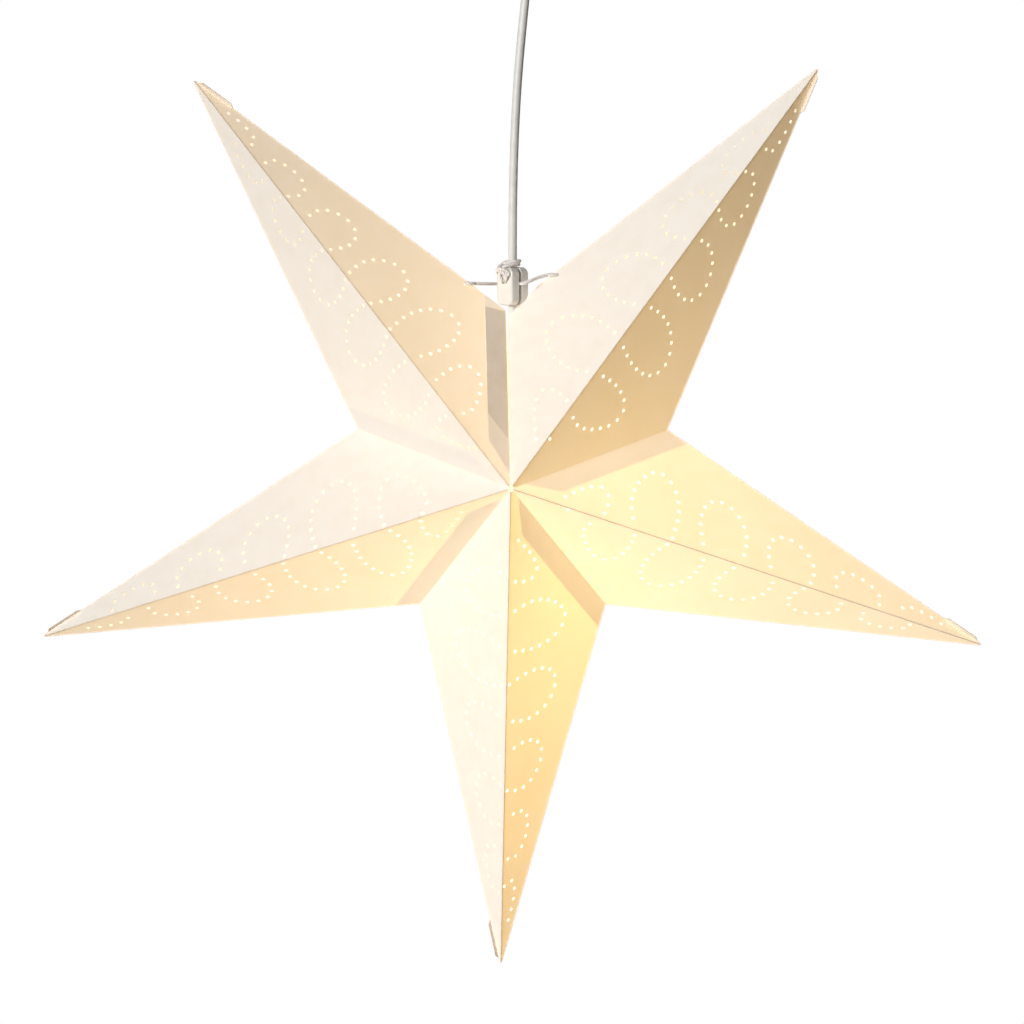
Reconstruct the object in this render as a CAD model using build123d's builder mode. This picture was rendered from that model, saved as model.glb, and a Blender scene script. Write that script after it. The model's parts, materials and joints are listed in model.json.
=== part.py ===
from build123d import *
from math import atan2, cos, degrees, pi, radians, sin, sqrt, tan
import os

# A folded-paper star lantern hanging from a ceiling fitting by its mains cord.
# Millimetres, +Z up, +X to the right seen from the front, front towards -Y.
# Origin: centre of the ceiling fitting's upper face, which lies on the ceiling.

# ---------------------------------------------------------------- driving dimensions
# Paper star. Points are angles in the X-Z plane about the star's centre, seen from the front.
tip_radius = 372.0
corner_radius = 118.5
half_depth = 100.0
paper = 0.4
point_half_angle = 35.4
# how far each point leans anticlockwise, in degrees: a hand-folded star is a little uneven
point_lean = {"lower": -1.4, "left": 0.0, "upper_left": 0.5, "right": -0.8, "upper_right": 1.6}
slit_corner_radius = 124.0
slit_gap_centre = 1.2
slit_gap_rim = 2.4
slit_lean = 2.0
centre_hole_radius = 2.2
tip_cut = 2.0
star_drop = 430.0
star_offset = -12.0

# Glue flaps and tip tabs
flap_width = 16.0
flap_start = 12.0
flap_taper = 26.0
flap_end_gap = 2.0
slit_flap_end_gap = 4.0
tab_length = 36.0
tab_overlap = 7.0
tab_proud = 3.0
glue_gap = 0.02

# Mains cord: round, two cores
cord_radius = 3.1
core_radius = 1.0
core_spacing = 2.3
cord_notch_clearance = 0.6
cord_overrun = 2.0

# Cord clip: two halves that close on the cord
clip_width = 16.5
clip_height = 27.5
clip_depth = 17.0
clip_gap = 3.0
clip_corner = 5.0
clip_edge = 1.5
clip_bottom = 125.0
clip_turn = 45.0
clip_clearance = 0.3
clip_slot = (6.0, 3.6)
clip_slot_depth = 2.4
clip_screw_radius = 1.1
clip_screw_head_radius = 1.8
clip_screw_head_depth = 1.4
clip_screw_length = 14.0
clip_screw_height = 5.5
clip_screw_offset = 4.9

# Tie string
string_radius = 1.35
string_height = 142.5
string_loop_radius = 4.0
string_hole_clearance = 0.5
string_clearance = 0.3
string_wrap_rise = 2.6

# Lampholder, heights above the star's centre
gland_top = 18.0
gland_bottom = 6.0
gland_radius = 6.0
gland_nut_radius = 8.0
gland_nut_height = 4.0
cap_bottom = -8.0
cap_top = 8.0
holder_radius = 14.0
holder_wall = 1.5
skirt_bottom = -52.0
skirt_lip_radius = 9.5
rib_count = 24
rib_radius = 0.5
insert_clearance = 0.2
insert_top = -9.0
insert_floor = -26.0
insert_bottom = -50.0
shell_wall = 0.4
shell_top = -29.0
contact_radius = 3.0
contact_thickness = 1.2
terminal_screw_radius = 1.5
terminal_screw_length = 5.0
terminal_screw_offset = 7.0

# Lamp, heights above the star's centre
lamp_centre = -84.0
globe_radius = 22.5
globe_wall = 1.0
screw_cap_radius = 6.95
screw_cap_wall = 0.4
screw_clearance = 0.2
thread_pitch = 2.82
thread_count = 5
thread_groove = 0.35
lamp_tip = -28.5
lamp_tip_height = 1.5
lamp_cap_top = -31.5
lamp_cap_bottom = -53.0
collar_top_radius = 7.4
collar_bottom_radius = 13.0
collar_wall = 1.2
board_radius = 10.5
board_thickness = 1.2
chip_count = 6
chip_size = 2.8
chip_height = 0.8
chip_ring = 7.0
driver_size = (7.5, 1.0, 13.0)

# Ceiling fitting, heights below the ceiling
cup_radius = 45.0
cup_height = 48.0
cup_wall = 2.0
cup_round = 9.0
seat_rim_height = 6.0
seat_rim_wall = 3.5
ball_radius = 10.0
ball_clearance = 0.3
ball_centre = -42.0
ball_top_cut = 7.0
ball_bottom_cut = 7.0
bush_radius = 4.3
bush_clearance = 0.2
bush_flange_radius = 7.0
bush_flange_height = 2.0
bush_bottom = -56.0
bracket_width = 16.0
bracket_thickness = 1.5
bracket_tab_height = 13.0
bracket_clearance = 0.3
ceiling_hole_radius = 2.25
ceiling_hole_spacing = 52.0
cup_screw_radius = 1.9
cup_screw_head_radius = 3.4
cup_screw_head_height = 1.8
cup_screw_drop = 8.0
block_size = (24.0, 14.0, 15.0)
block_port_radius = 2.0
block_screw_radius = 1.6
block_screw_length = 4.0
tails_gap = 1.0

# ---------------------------------------------------------------- shared places
os.makedirs("parts", exist_ok=True)
star = Vector(star_offset, 0, -star_drop)
front, back = -1, 1
slit_half_angle = degrees(atan2(slit_gap_rim / 2, slit_corner_radius))
clip_middle = star + Vector(0, 0, clip_bottom + clip_height / 2)
clip_turned = Plane(origin=clip_middle, x_dir=(cos(radians(clip_turn)), -sin(radians(clip_turn)), 0),
                    z_dir=(0, 0, 1))


def polar(angle, radius):
    """A point of the star's middle plane, from its angle and its distance from the centre."""
    return star + Vector(radius * cos(radians(angle)), 0, radius * sin(radians(angle)))


# Each point takes two half angles, counted anticlockwise from the lower point.
names = list(point_lean)
half_turns = {"lower": 0, "left": -2, "upper_left": -4, "right": 2, "upper_right": 4}
point_angle = {name: -90 + half_turns[name] * point_half_angle for name in names}
next_clockwise = {"lower": "left", "left": "upper_left", "right": "lower", "upper_right": "right"}


def corner(name, side):
    """Angle and radius of an inner corner, and how far its fold line misses the centre."""
    at_slit = (name, side) in [("upper_left", "cw"), ("upper_right", "ccw")]
    step = -1 if side == "cw" else 1
    if at_slit:
        return (90 + slit_lean - step * slit_half_angle, slit_corner_radius, slit_gap_centre / 2)
    return (point_angle[name] + step * point_half_angle, corner_radius, 0.0)


class Sheet:
    """The flat panel of one point on one side of its ridge, on the front or the back."""

    def __init__(self, name, side, face):
        angle, radius, miss = corner(name, side)
        self.apex = star + Vector(0, face * half_depth, 0)
        self.tip = polar(point_angle[name] + point_lean[name], tip_radius)
        self.corner = polar(angle, radius)
        across = (self.tip - self.apex).cross(self.corner - self.apex).normalized()
        inward = across if across.Y * face < 0 else across * -1
        self.plane = Plane(origin=self.apex, x_dir=self.tip - self.apex, z_dir=inward)
        # the planes that the panel stops at: ridge, valley, middle of the star and tip
        tip_way = (self.tip - star).normalized()
        tip_side = self.across(tip_way, self.corner - star)
        valley_side = self.across((self.corner - star).normalized(), self.tip - star)
        self.ridge_cut = Plane(origin=star, z_dir=tip_side)
        self.valley_cut = Plane(origin=star + valley_side * miss, z_dir=valley_side)
        self.middle_cut = Plane(origin=star, z_dir=(0, face, 0))
        self.tip_cut = Plane(origin=self.tip - tip_way * tip_cut, z_dir=tip_way * -1)

    def across(self, line, towards):
        """The direction in the middle plane at right angles to line, on the side of towards."""
        normal = line.cross(Vector(0, 1, 0))
        return normal if normal.dot(towards) > 0 else normal * -1

    def local(self, point):
        """A point in the panel's own flat coordinates."""
        flat = self.plane.to_local_coords(point)
        return Vector(flat.X, flat.Y)


def valley_axes(sheet):
    """The fold line's direction from the apex in the panel's coordinates, and the way into the panel."""
    along = sheet.local(sheet.corner).normalized()
    into = Vector(-along.Y, along.X)
    if into.dot(sheet.local(sheet.tip)) < 0:
        into = into * -1
    return along, into


# ---------------------------------------------------------------- paper panels
# Each sheet is drawn past its fold, then cut by the planes that it shares with its neighbours.
oversize = 3 * paper
slit_panels = [("upper_left", "cw"), ("upper_right", "ccw")]
clip_room = [size + 2 * clip_clearance for size in (clip_width, clip_depth, clip_height)]


def loop_centre(name, side):
    """Where the string goes round a slit panel's outer edge, at the string's height."""
    edge = Sheet(name, side, front)
    share = (star.Z + string_height - edge.corner.Z) / (edge.tip.Z - edge.corner.Z)
    return edge.corner + (edge.tip - edge.corner) * share


for name in names:
    for side in ("cw", "ccw"):
        for face, face_name in ((front, "front"), (back, "back")):
            sheet = Sheet(name, side, face)
            along, into = valley_axes(sheet)
            with BuildPart() as panel:
                with BuildSketch(sheet.plane):
                    with BuildLine():
                        Polyline(
                            (0, 0),
                            sheet.local(sheet.tip),
                            sheet.local(sheet.corner) - into * oversize,
                            into * -oversize,
                            close=True,
                        )
                    make_face()
                extrude(amount=paper)
                split(bisect_by=sheet.ridge_cut, keep=Keep.TOP)
                split(bisect_by=sheet.valley_cut, keep=Keep.TOP)
                split(bisect_by=sheet.middle_cut, keep=Keep.TOP)
                split(bisect_by=sheet.tip_cut, keep=Keep.TOP)
                with Locations(star):
                    Cylinder(centre_hole_radius, 3 * half_depth, rotation=(90, 0, 0), mode=Mode.SUBTRACT)
                if (name, side) in slit_panels:
                    # the notch that the cord passes through, and the hole for the string's loop
                    with Locations(star + Vector(0, 0, slit_corner_radius)):
                        Cylinder(cord_radius + cord_notch_clearance, slit_corner_radius, mode=Mode.SUBTRACT)
                    with Locations(loop_centre(name, side)):
                        Torus(string_loop_radius, string_radius + string_hole_clearance, mode=Mode.SUBTRACT)
                    # the rim is cut back round the clip, which the real paper bends to clear
                    with Locations(clip_turned):
                        Box(*clip_room, mode=Mode.SUBTRACT)
            panel.part.label = f"{face_name}_{name}_{side}"
            export_step(panel.part, f"parts/{panel.part.label}.step")

# ---------------------------------------------------------------- glue flaps and tip tabs
# A sheet's flaps lie inside the panel next to it. The last sheet's are folded back inside itself.
flap_depth = paper + glue_gap
for name in names:
    host = (next_clockwise[name], "ccw") if name in next_clockwise else (name, "cw")
    with BuildPart() as flaps:
        for face in (front, back):
            sheet = Sheet(*host, face)
            along, into = valley_axes(sheet)
            flap_end = sheet.local(sheet.corner).length
            edge = (sheet.local(sheet.tip) - sheet.local(sheet.corner)).normalized()
            if name == "upper_left":
                flap_end -= slit_flap_end_gap
                slant = 0
            else:
                flap_end -= flap_end_gap / edge.dot(into)
                slant = edge.dot(along) / edge.dot(into)
            inner = Plane(origin=sheet.apex + sheet.plane.z_dir * flap_depth,
                          x_dir=sheet.plane.x_dir, z_dir=sheet.plane.z_dir)
            with BuildSketch(inner):
                with BuildLine():
                    Polyline(
                        along * flap_start,
                        along * (flap_start + flap_taper) + into * flap_width,
                        along * (flap_end + slant * flap_width) + into * flap_width,
                        along * (flap_end - slant * oversize) - into * oversize,
                        along * flap_start - into * oversize,
                        close=True,
                    )
                make_face()
            extrude(amount=paper)
        for face in (front, back):
            split(bisect_by=Sheet(*host, face).valley_cut.offset(glue_gap), keep=Keep.TOP)
        # the tab outside the back panel, along the outer edge beside the tip
        tab_side = "ccw" if name == "right" else "cw"
        sheet = Sheet(name, tab_side, back)
        tip = sheet.local(sheet.tip)
        edge = (sheet.local(sheet.corner) - tip).normalized()
        inwards = Vector(-edge.Y, edge.X)
        if inwards.dot(tip) > 0:
            inwards = inwards * -1
        outer = Plane(origin=sheet.apex - sheet.plane.z_dir * (glue_gap + paper),
                      x_dir=sheet.plane.x_dir, z_dir=sheet.plane.z_dir)
        with BuildSketch(outer):
            with BuildLine():
                Polyline(
                    tip + edge * (tip_cut + tab_proud) + inwards * 0.5,
                    tip + edge * (2 * tab_proud + tip_cut) - inwards * tab_proud,
                    tip + edge * (tab_length - tab_proud) - inwards * tab_proud,
                    tip + edge * tab_length + inwards * glue_gap,
                    tip + edge * tab_length + inwards * tab_overlap,
                    close=True,
                )
            make_face()
        extrude(amount=paper)
    flaps.part.label = f"glue_flaps_{name}"
    export_step(flaps.part, f"parts/{flaps.part.label}.step")

# ---------------------------------------------------------------- tie string
# A loop round each outer edge of the slit, and a strand from each loop to the cord.
string_level = star.Z + string_height
mouth = clip_width / 2 + string_radius
cord_side = cord_radius + string_clearance
with BuildPart() as tie_string:
    for step, (name, side) in zip((-1, 1), slit_panels):
        loop = loop_centre(name, side)
        with Locations(loop):
            Torus(string_loop_radius, string_radius)
        rise = string_level - clip_middle.Z
        with BuildLine() as strand:
            Polyline(
                loop - Vector(step * string_loop_radius, 0, 0),
                clip_turned.from_local_coords(Vector(step * mouth, 0, rise)),
                clip_turned.from_local_coords(Vector(step * cord_side, 0, rise)),
            )
        with BuildSketch(Plane(origin=strand.line @ 0, z_dir=strand.line % 0)):
            Circle(string_radius)
        sweep(transition=Transition.ROUND)
    # the wrap round the cord, on top of the clip, with its knot in front
    wrap = star + Vector(0, 0, clip_bottom + clip_height + string_wrap_rise)
    with Locations(wrap):
        Torus(cord_radius + string_radius + string_clearance, string_radius)
    knot_out = clip_turned.from_local_coords(
        Vector(string_radius, clip_depth / -2 + string_radius, clip_height / 2 + string_wrap_rise))
    with Locations(knot_out):
        Sphere(2 * string_radius)
tie_string.part.label = "tie_string"
export_step(tie_string.part, "parts/tie_string.step")

# ---------------------------------------------------------------- cord clip
screw_places = [(side * clip_screw_offset, clip_screw_height - clip_height / 2) for side in (-1, 1)]
half_thickness = (clip_depth - clip_gap) / 2
screw_bite = clip_screw_length - half_thickness - clip_gap


def face_height(face, rise):
    """The local height, on a clip face, of a place that is rise above the clip's middle."""
    return rise if face.y_dir.Z > 0 else -rise


def clip_half(outward, name):
    """One half of the clip, in the clip's turned frame; outward is -1 at the front."""
    face = Plane(origin=clip_middle + clip_turned.y_dir * outward * clip_gap / 2,
                 x_dir=clip_turned.x_dir, z_dir=clip_turned.y_dir * outward)
    flip = -1 if outward > 0 else 1
    with BuildPart() as half:
        with BuildSketch(face):
            RectangleRounded(clip_width, clip_height, clip_corner)
        extrude(amount=half_thickness)
        outer_edges = half.faces().sort_by(Axis(clip_middle, clip_turned.y_dir * outward))[-1].edges()
        fillet(outer_edges, radius=clip_edge)
        with Locations(Location(clip_middle)):
            Cylinder(cord_radius, 2 * clip_height, mode=Mode.SUBTRACT)
        with BuildSketch(face):
            with Locations(*[(flip * x, face_height(face, z)) for x, z in screw_places]):
                Circle(clip_screw_radius)
        extrude(amount=screw_bite if outward < 0 else half_thickness, mode=Mode.SUBTRACT)
        if outward > 0:
            with BuildSketch(face.offset(half_thickness)):
                with Locations(*[(flip * x, face_height(face, z)) for x, z in screw_places]):
                    Circle(clip_screw_head_radius)
            extrude(amount=-clip_screw_head_depth, mode=Mode.SUBTRACT)
        else:
            # the slot in the front face that the string is led out of
            slot_height = string_height - clip_bottom - clip_height / 2
            with BuildSketch(face.offset(half_thickness)):
                with Locations((0, face_height(face, slot_height))):
                    RectangleRounded(*clip_slot, clip_slot[1] / 3)
            extrude(amount=-clip_slot_depth, mode=Mode.SUBTRACT)
    half.part.label = name
    export_step(half.part, f"parts/{half.part.label}.step")


clip_half(-1, "cord_clip_front")
clip_half(1, "cord_clip_rear")

with BuildPart() as clip_screws:
    rear_face = Plane(origin=clip_middle + clip_turned.y_dir * clip_depth / 2,
                      x_dir=clip_turned.x_dir, z_dir=clip_turned.y_dir)
    with BuildSketch(rear_face.offset(-clip_screw_head_depth)):
        with Locations(*[(-x, face_height(rear_face, z)) for x, z in screw_places]):
            Circle(clip_screw_radius)
    extrude(amount=-clip_screw_length + clip_screw_head_depth)
    with BuildSketch(rear_face.offset(-clip_screw_head_depth)):
        with Locations(*[(-x, face_height(rear_face, z)) for x, z in screw_places]):
            Circle(clip_screw_head_radius)
    extrude(amount=clip_screw_head_depth)
clip_screws.part.label = "clip_screws"
export_step(clip_screws.part, "parts/clip_screws.step")

# ---------------------------------------------------------------- mains cord
# Straight up from the gland through the clip, then a gentle lean to the ceiling bush.
cord_route = [
    star + Vector(0, 0, gland_top),
    star + Vector(0, 0, 200),
    star + Vector(1.8, 0, 262),
    star + Vector(5.9, 0, 318),
    Vector(0, 0, bush_bottom),
]
cord_route[-1] += (cord_route[-1] - cord_route[-2]).normalized() * cord_overrun


def bend_radii(route):
    """An arc for each corner, as large as the two runs beside it leave room for."""
    radii = []
    for before, here, after in zip(route, route[1:], route[2:]):
        half_turn = radians((here - before).get_angle(after - here)) / 2
        radii.append(0.45 * min((here - before).length, (after - here).length) / tan(half_turn))
    return radii


cord_radii = bend_radii(cord_route)
print("cord bend radii", [round(radius) for radius in cord_radii])
with BuildPart() as mains_cord:
    with BuildLine() as route:
        FilletPolyline(*cord_route, radius=cord_radii)
    with BuildSketch(Plane(origin=route.line @ 0, z_dir=route.line % 0)):
        Circle(cord_radius)
    sweep()
    split(bisect_by=Plane.XY.offset(bush_bottom), keep=Keep.BOTTOM)
print("cord length", round(sum(edge.length for edge in route.edges()), 1),
      "volume over section", round(mains_cord.part.volume / (pi * cord_radius**2), 1))
mains_cord.part.label = "mains_cord"
export_step(mains_cord.part, "parts/mains_cord.step")

# ---------------------------------------------------------------- lampholder
axis_plane = Plane(origin=star, x_dir=(1, 0, 0), z_dir=(0, -1, 0))


def level(height, radius=0.0, turn=0.0):
    """A place beside the lampholder's axis."""
    return star + Vector(radius * cos(radians(turn)), radius * sin(radians(turn)), height)


with BuildPart() as cord_gland:
    with BuildSketch(Plane(level(gland_bottom))):
        Circle(gland_radius)
    extrude(amount=gland_top - gland_bottom)
    with BuildSketch(Plane(level(gland_top - gland_nut_height))):
        RegularPolygon(gland_nut_radius, 6)
    extrude(amount=gland_nut_height)
    with BuildSketch(Plane(level(gland_bottom))):
        Circle(cord_radius - holder_wall / 2)
    extrude(amount=gland_top - gland_bottom, mode=Mode.SUBTRACT)
    chamfer(cord_gland.edges().group_by(Axis.Z)[-1].filter_by(GeomType.LINE), length=0.6)
cord_gland.part.label = "cord_gland"
export_step(cord_gland.part, "parts/cord_gland.step")

with BuildPart() as holder_cap:
    with BuildSketch(axis_plane):
        with BuildLine():
            Polyline((gland_radius, cap_top), (gland_nut_radius + 1, cap_top))
            RadiusArc((gland_nut_radius + 1, cap_top), (holder_radius, cap_bottom + 2), 14)
            Polyline(
                (holder_radius, cap_bottom + 2),
                (holder_radius, cap_bottom),
                (holder_radius - holder_wall, cap_bottom),
                (holder_radius - holder_wall, cap_bottom + 2),
                (gland_radius, cap_top - holder_wall),
                (gland_radius, cap_top),
            )
        make_face()
    revolve(axis=Axis(star, (0, 0, 1)))
holder_cap.part.label = "holder_cap"
export_step(holder_cap.part, "parts/holder_cap.step")

with BuildPart() as holder_skirt:
    with BuildSketch(axis_plane):
        with BuildLine():
            Polyline(
                (holder_radius - holder_wall, cap_bottom),
                (holder_radius, cap_bottom),
                (holder_radius, skirt_bottom + 2),
                (holder_radius - 2, skirt_bottom),
                (skirt_lip_radius, skirt_bottom),
                (skirt_lip_radius, skirt_bottom + holder_wall),
                (holder_radius - holder_wall, skirt_bottom + 2 * holder_wall),
                close=True,
            )
        make_face()
    revolve(axis=Axis(star, (0, 0, 1)))
    rib_span = cap_bottom - skirt_bottom - 8 * holder_wall
    with Locations(level((cap_bottom + skirt_bottom) / 2)):
        with PolarLocations(holder_radius, rib_count):
            Cylinder(rib_radius, rib_span)
holder_skirt.part.label = "holder_skirt"
export_step(holder_skirt.part, "parts/holder_skirt.step")

insert_radius = holder_radius - holder_wall - insert_clearance
shell_radius = screw_cap_radius + screw_clearance
terminal_places = [level(insert_top, terminal_screw_offset, turn) for turn in (0, 180)]
with BuildPart() as holder_insert:
    with BuildSketch(Plane(level(insert_top))):
        Circle(insert_radius)
    extrude(amount=insert_bottom + holder_wall - insert_top)
    with BuildSketch(Plane(level(insert_floor))):
        Circle(shell_radius + shell_wall)
    extrude(amount=insert_bottom + holder_wall - insert_floor, mode=Mode.SUBTRACT)
    with BuildSketch(Plane(level(insert_top))):
        with Locations(*[(x, 0) for x in (-terminal_screw_offset, terminal_screw_offset)]):
            Circle(terminal_screw_radius)
    extrude(amount=-terminal_screw_length, mode=Mode.SUBTRACT)
holder_insert.part.label = "holder_insert"
export_step(holder_insert.part, "parts/holder_insert.step")

with BuildPart() as screw_shell:
    with BuildSketch(Plane(level(shell_top))):
        Circle(shell_radius + shell_wall)
        Circle(shell_radius, mode=Mode.SUBTRACT)
    extrude(amount=insert_bottom + holder_wall - shell_top)
screw_shell.part.label = "screw_shell"
export_step(screw_shell.part, "parts/screw_shell.step")

with BuildPart() as centre_contact:
    with BuildSketch(Plane(level(lamp_tip))):
        Circle(contact_radius)
    extrude(amount=insert_floor - lamp_tip)
centre_contact.part.label = "centre_contact"
export_step(centre_contact.part, "parts/centre_contact.step")

with BuildPart() as holder_screws:
    with BuildSketch(Plane(level(insert_top))):
        with Locations(*[(x, 0) for x in (-terminal_screw_offset, terminal_screw_offset)]):
            Circle(terminal_screw_radius)
    extrude(amount=-terminal_screw_length)
    with BuildSketch(Plane(level(insert_top))):
        with Locations(*[(x, 0) for x in (-terminal_screw_offset, terminal_screw_offset)]):
            Circle(1.5 * terminal_screw_radius)
    extrude(amount=contact_thickness)
holder_screws.part.label = "holder_screws"
export_step(holder_screws.part, "parts/holder_screws.step")

with BuildPart() as holder_cores:
    with BuildSketch(Plane(level(insert_top))):
        with Locations((-core_spacing / 2, 0), (core_spacing / 2, 0)):
            Circle(core_radius)
    extrude(amount=gland_top - insert_top)
holder_cores.part.label = "holder_cores"
export_step(holder_cores.part, "parts/holder_cores.step")

# ---------------------------------------------------------------- lamp
with BuildPart() as lamp_tip_contact:
    with BuildSketch(Plane(level(lamp_tip))):
        Circle(contact_radius - insert_clearance)
    extrude(amount=-lamp_tip_height)
    chamfer(lamp_tip_contact.edges().group_by(Axis.Z)[-1], length=lamp_tip_height / 3)
lamp_tip_contact.part.label = "lamp_tip_contact"
export_step(lamp_tip_contact.part, "parts/lamp_tip_contact.step")

with BuildPart() as lamp_insulator:
    with BuildSketch(axis_plane):
        with BuildLine():
            Polyline(
                (0, lamp_tip - lamp_tip_height),
                (contact_radius, lamp_tip - lamp_tip_height),
                (screw_cap_radius - screw_cap_wall, lamp_cap_top),
                (screw_cap_radius - screw_cap_wall, lamp_cap_top - lamp_tip_height),
                (0, lamp_cap_top - lamp_tip_height),
                close=True,
            )
        make_face()
    revolve(axis=Axis(star, (0, 0, 1)))
lamp_insulator.part.label = "lamp_insulator"
export_step(lamp_insulator.part, "parts/lamp_insulator.step")

with BuildPart() as lamp_screw_cap:
    with BuildSketch(Plane(level(lamp_cap_top))):
        Circle(screw_cap_radius)
        Circle(screw_cap_radius - screw_cap_wall, mode=Mode.SUBTRACT)
    extrude(amount=lamp_cap_bottom - lamp_cap_top)
    for turn in range(thread_count):
        with Locations(level(lamp_cap_top - (turn + 1.2) * thread_pitch)):
            Torus(screw_cap_radius + thread_groove / 2, thread_groove, mode=Mode.SUBTRACT)
lamp_screw_cap.part.label = "lamp_screw_cap"
export_step(lamp_screw_cap.part, "parts/lamp_screw_cap.step")

collar_bottom = lamp_centre + sqrt(globe_radius**2 - collar_bottom_radius**2)
with BuildPart() as lamp_collar:
    with BuildSketch(axis_plane):
        with BuildLine():
            Polyline(
                (screw_cap_radius, lamp_cap_bottom + collar_wall),
                (collar_top_radius, lamp_cap_bottom + collar_wall),
                (collar_top_radius, lamp_cap_bottom - collar_wall),
                (collar_bottom_radius, collar_bottom),
                (collar_bottom_radius - collar_wall, collar_bottom),
                (screw_cap_radius, lamp_cap_bottom - collar_wall),
                (screw_cap_radius, lamp_cap_bottom + collar_wall),
            )
        make_face()
    revolve(axis=Axis(star, (0, 0, 1)))
lamp_collar.part.label = "lamp_collar"
export_step(lamp_collar.part, "parts/lamp_collar.step")

with BuildPart() as lamp_globe:
    with Locations(level(lamp_centre)):
        Sphere(globe_radius)
        Sphere(globe_radius - globe_wall, mode=Mode.SUBTRACT)
    split(bisect_by=Plane(level(collar_bottom)), keep=Keep.BOTTOM)
lamp_globe.part.label = "lamp_globe"
export_step(lamp_globe.part, "parts/lamp_globe.step")

with BuildPart() as led_board:
    with BuildSketch(Plane(level(collar_bottom + board_thickness))):
        Circle(board_radius)
    extrude(amount=-board_thickness)
led_board.part.label = "led_board"
export_step(led_board.part, "parts/led_board.step")

with BuildPart() as led_chips:
    with Locations(level(collar_bottom - chip_height / 2)):
        with PolarLocations(chip_ring, chip_count):
            Box(chip_size, chip_size, chip_height)
led_chips.part.label = "led_chips"
export_step(led_chips.part, "parts/led_chips.step")

with BuildPart() as lamp_driver:
    with Locations(level(collar_bottom + board_thickness + driver_size[2] / 2)):
        Box(*driver_size)
lamp_driver.part.label = "lamp_driver"
export_step(lamp_driver.part, "parts/lamp_driver.step")

# ---------------------------------------------------------------- ceiling fitting
seat_radius = ball_radius + ball_clearance
ball_middle = Vector(0, 0, ball_centre)
with BuildPart() as ceiling_cup:
    with BuildSketch():
        Circle(cup_radius)
    extrude(amount=-cup_height)
    fillet(ceiling_cup.edges().group_by(Axis.Z)[0], radius=cup_round)
    offset(amount=-cup_wall, openings=ceiling_cup.faces().sort_by(Axis.Z)[-1])
    with BuildSketch(Plane.XY.offset(-cup_height)):
        Circle(seat_radius + seat_rim_wall)
    extrude(amount=cup_wall + seat_rim_height)
    with Locations(ball_middle):
        Sphere(seat_radius, mode=Mode.SUBTRACT)
    with Locations((0, 0, ball_centre + seat_radius)):
        Cylinder(seat_radius, 2 * seat_radius, mode=Mode.SUBTRACT)
    for side in (-1, 1):
        with BuildSketch(Plane(origin=(0, 0, -cup_screw_drop), z_dir=(side, 0, 0))):
            Circle(cup_screw_radius)
        extrude(amount=cup_radius + cup_wall, mode=Mode.SUBTRACT)
ceiling_cup.part.label = "ceiling_cup"
export_step(ceiling_cup.part, "parts/ceiling_cup.step")

bracket_half = cup_radius - cup_wall - bracket_clearance
with BuildPart() as ceiling_bracket:
    with BuildSketch():
        Rectangle(2 * bracket_half, bracket_width)
        with GridLocations(ceiling_hole_spacing, 0, 2, 1):
            Circle(ceiling_hole_radius, mode=Mode.SUBTRACT)
    extrude(amount=-bracket_thickness)
    for side in (-1, 1):
        with BuildSketch(Plane(origin=(side * bracket_half, 0, 0), x_dir=(0, 1, 0), z_dir=(-side, 0, 0))):
            with Locations((0, side * bracket_tab_height / 2)):
                Rectangle(bracket_width, bracket_tab_height)
            with Locations((0, side * cup_screw_drop)):
                Circle(cup_screw_radius, mode=Mode.SUBTRACT)
        extrude(amount=bracket_thickness)
    # the tabs' corners follow the round wall of the cup
    with BuildSketch(Plane.XY.offset(-bracket_tab_height)):
        Circle(cup_radius - cup_wall - bracket_clearance)
    extrude(amount=bracket_tab_height, mode=Mode.INTERSECT)
ceiling_bracket.part.label = "ceiling_bracket"
export_step(ceiling_bracket.part, "parts/ceiling_bracket.step")

with BuildPart() as cup_screws:
    for side in (-1, 1):
        seat = Plane(origin=(side * cup_radius, 0, -cup_screw_drop), z_dir=(side, 0, 0))
        with BuildSketch(seat):
            Circle(cup_screw_head_radius)
        extrude(amount=cup_screw_head_height)
        with BuildSketch(seat):
            Circle(cup_screw_radius)
        extrude(amount=-(cup_wall + bracket_clearance + 3 * bracket_thickness))
cup_screws.part.label = "cup_screws"
export_step(cup_screws.part, "parts/cup_screws.step")

block_top = -bracket_thickness
block_bottom = block_top - block_size[2]
block_front = Plane(origin=(0, -block_size[1] / 2, block_top - block_size[2] / 2),
                    x_dir=(1, 0, 0), z_dir=(0, -1, 0))
port_places = [(-block_size[0] / 4, 0), (block_size[0] / 4, 0)]
with BuildPart() as terminal_block:
    with BuildSketch(Plane.XY.offset(block_top)):
        RectangleRounded(block_size[0], block_size[1], 1.5)
    extrude(amount=-block_size[2])
    with BuildSketch(Plane.XY.offset(block_bottom)):
        with Locations(*port_places):
            Circle(block_port_radius)
    extrude(amount=block_size[2] / 2, mode=Mode.SUBTRACT)
    with BuildSketch(block_front):
        with Locations(*port_places):
            Circle(block_screw_radius)
    extrude(amount=-block_screw_length, mode=Mode.SUBTRACT)
terminal_block.part.label = "terminal_block"
export_step(terminal_block.part, "parts/terminal_block.step")

with BuildPart() as block_screws:
    with BuildSketch(block_front):
        with Locations(*port_places):
            Circle(block_screw_radius)
    extrude(amount=-block_screw_length)
block_screws.part.label = "block_screws"
export_step(block_screws.part, "parts/block_screws.step")

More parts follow.
